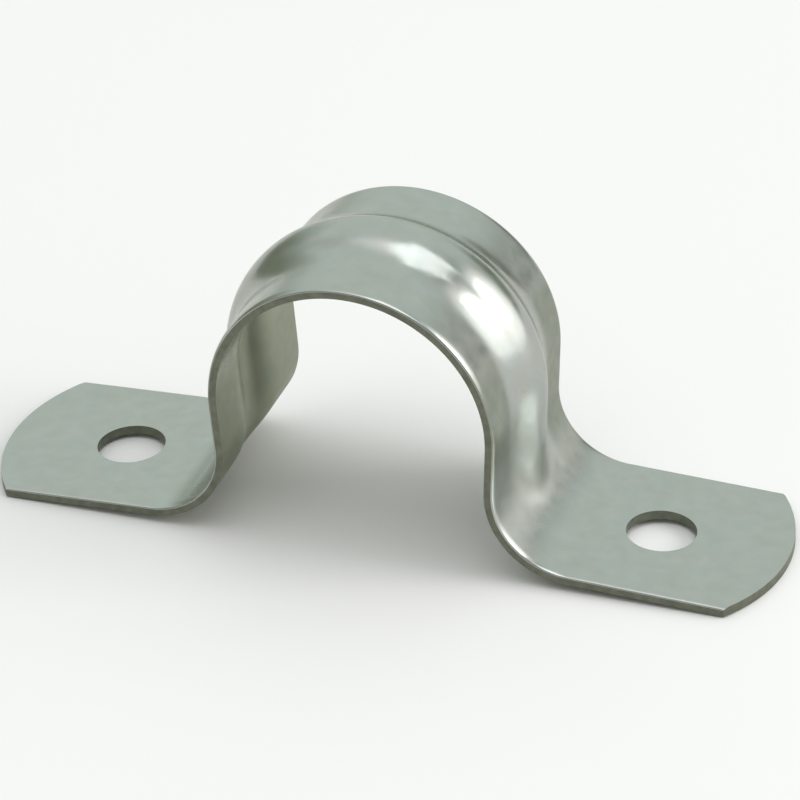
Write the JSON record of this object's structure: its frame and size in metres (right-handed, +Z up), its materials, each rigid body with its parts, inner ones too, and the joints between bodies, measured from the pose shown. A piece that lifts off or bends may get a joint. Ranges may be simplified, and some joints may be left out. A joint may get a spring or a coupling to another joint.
{
  "type": "two-hole conduit strap",
  "caption": "One-piece stamped steel strap: a beaded arch holds a conduit down, and two pierced feet fix it to a surface.",
  "frame": {"origin": "under the arch, halfway between the fixing holes, on the plane that the feet's tips stand on", "axes": "+X along the strap from foot to foot, +Y along the conduit, +Z up from the mounting surface to the arch"},
  "size_m": [0.0634, 0.0164, 0.0247],
  "materials": {
    "galvanised_steel": "satin zinc coating"
  },
  "bodies": {
    "root": {"strap": "galvanised_steel"}
  },
  "joints": []
}
